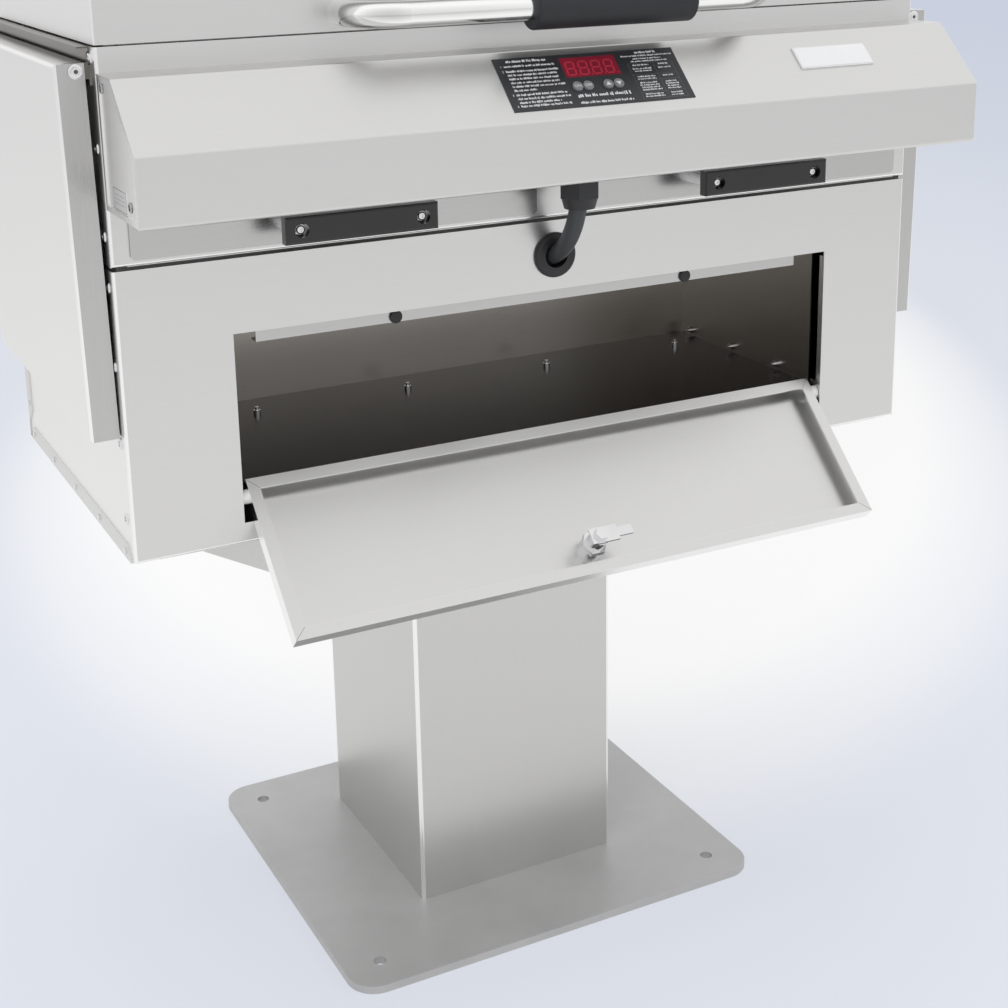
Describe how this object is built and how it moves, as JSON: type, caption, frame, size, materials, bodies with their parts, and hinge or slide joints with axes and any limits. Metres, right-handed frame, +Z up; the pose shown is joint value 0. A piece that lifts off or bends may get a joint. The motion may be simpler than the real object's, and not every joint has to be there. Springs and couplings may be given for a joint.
{
  "type": "electric grill",
  "caption": "Electric grill on a pedestal: steel cabinet with a drop-down storage door, head with lid, sloping control console, drawer trays and fold-up side shelves.",
  "frame": {"origin": "floor level under the middle of the pedestal column", "axes": "+Z up, -Y towards the user, +X to the user's right"},
  "size_m": [0.8726, 0.5125, 1.11],
  "materials": {
    "stainless": "brushed",
    "inner_steel": "satin",
    "handle_black": "gloss",
    "bright_steel": "polished",
    "grate_steel": "polished",
    "base_paint": "satin",
    "black_rubber": "matte",
    "black_nylon": "matte",
    "white_nylon": "matte",
    "element_sheath": "dark",
    "control_print": "satin",
    "display_glass": "gloss",
    "button_plastic": "satin",
    "plate_metal": "satin"
  },
  "bodies": {
    "cabinet": {"base_plate": "base_paint", "pedestal_column": "stainless", "column_gussets": "stainless", "cabinet_floor_pan": "stainless", "cabinet_front_panel": "stainless", "cabinet_sides": "stainless", "cabinet_top": "inner_steel", "rear_panel": "stainless", "storage_liner": "inner_steel", "liner_rail": "inner_steel", "liner_studs": "bright_steel", "door_stop_strip": "inner_steel", "bumpers": "black_rubber", "panel_screws": "bright_steel", "flange_rivets": "bright_steel", "power_cord": "black_rubber", "cord_grommet": "black_rubber", "cable_gland": "black_nylon", "terminal_boxes": "black_nylon", "head_front_panel": "stainless", "head_sides": "stainless", "head_floor": "inner_steel", "firebox_tub": "inner_steel", "drip_funnels": "inner_steel", "heating_element": "element_sheath", "element_supports": "inner_steel", "tray_runners": "inner_steel", "console_cover": "stainless", "console_ends": "stainless", "console_floor": "inner_steel", "control_overlay": "control_print", "display_window": "display_glass", "control_board": "black_nylon", "blank_plates": "plate_metal", "lid_hinge_brackets": "inner_steel", "shelf_brackets": "inner_steel", "shelf_pins": "bright_steel"},
    "lid": {"lid_shell": "stainless", "lid_handle": "bright_steel", "lid_grip": "black_rubber", "lid_hinge_leaves": "inner_steel"},
    "storage_door": {"door_pan": "stainless", "door_pins": "bright_steel", "door_bushes": "white_nylon", "door_lock": "bright_steel"},
    "door_cam": {"lock_cam": "bright_steel"},
    "left_tray": {"tray_left_pan": "stainless", "tray_left_front": "stainless", "tray_left_handle": "handle_black"},
    "right_tray": {"tray_right_pan": "stainless", "tray_right_front": "stainless", "tray_right_handle": "handle_black"},
    "left_shelf": {"shelf_left": "stainless"},
    "right_shelf": {"shelf_right": "stainless"},
    "left_grate": {"cooking_grate_left": "grate_steel"},
    "right_grate": {"cooking_grate_right": "grate_steel"},
    "on_button": {"button_on": "button_plastic"},
    "off_button": {"button_off": "button_plastic"},
    "up_button": {"button_up": "button_plastic"},
    "down_button": {"button_down": "button_plastic"}
  },
  "joints": [
    {"name": "lid_hinge", "type": "hinge", "parent": "cabinet", "child": "lid", "pos_m": [0, 0.2168, 0.91325], "axis": [-1, 0, 0], "range_deg": [0, 95]},
    {"name": "door_hinge", "type": "hinge", "parent": "cabinet", "child": "storage_door", "pos_m": [0, -0.185, 0.5195], "axis": [-1, 0, 0], "range_deg": [0, 134]},
    {"name": "cam_turn", "type": "hinge", "parent": "storage_door", "child": "door_cam", "pos_m": [-0.0035, -0.26585, 0.44142], "axis": [0, 0.6947, -0.7193], "range_deg": [0, 90]},
    {"name": "left_tray_slide", "type": "slide", "parent": "cabinet", "child": "left_tray", "axis": [0, -1, 0], "range_m": [0, 0.3]},
    {"name": "right_tray_slide", "type": "slide", "parent": "cabinet", "child": "right_tray", "axis": [0, -1, 0], "range_m": [0, 0.3]},
    {"name": "left_shelf_hinge", "type": "hinge", "parent": "cabinet", "child": "left_shelf", "pos_m": [-0.4191, 0, 0.8935], "axis": [0, 1, 0], "range_deg": [0, 90.85]},
    {"name": "right_shelf_hinge", "type": "hinge", "parent": "cabinet", "child": "right_shelf", "pos_m": [0.4191, 0, 0.8935], "axis": [0, -1, 0], "range_deg": [0, 90.85]},
    {"name": "left_grate_lift", "type": "slide", "parent": "cabinet", "child": "left_grate", "axis": [0, 0, 1], "range_m": [0, 0.06]},
    {"name": "right_grate_lift", "type": "slide", "parent": "cabinet", "child": "right_grate", "axis": [0, 0, 1], "range_m": [0, 0.06]},
    {"name": "on_press", "type": "slide", "parent": "cabinet", "child": "on_button", "axis": [0, 0.6919, -0.722], "range_m": [0, 0.0015], "stiffness_N_per_m": 400, "springref_m": -0.002},
    {"name": "off_press", "type": "slide", "parent": "cabinet", "child": "off_button", "axis": [0, 0.6919, -0.722], "range_m": [0, 0.0015], "stiffness_N_per_m": 400, "springref_m": -0.002},
    {"name": "up_press", "type": "slide", "parent": "cabinet", "child": "up_button", "axis": [0, 0.6919, -0.722], "range_m": [0, 0.0015], "stiffness_N_per_m": 400, "springref_m": -0.002},
    {"name": "down_press", "type": "slide", "parent": "cabinet", "child": "down_button", "axis": [0, 0.6919, -0.722], "range_m": [0, 0.0015], "stiffness_N_per_m": 400, "springref_m": -0.002}
  ]
}
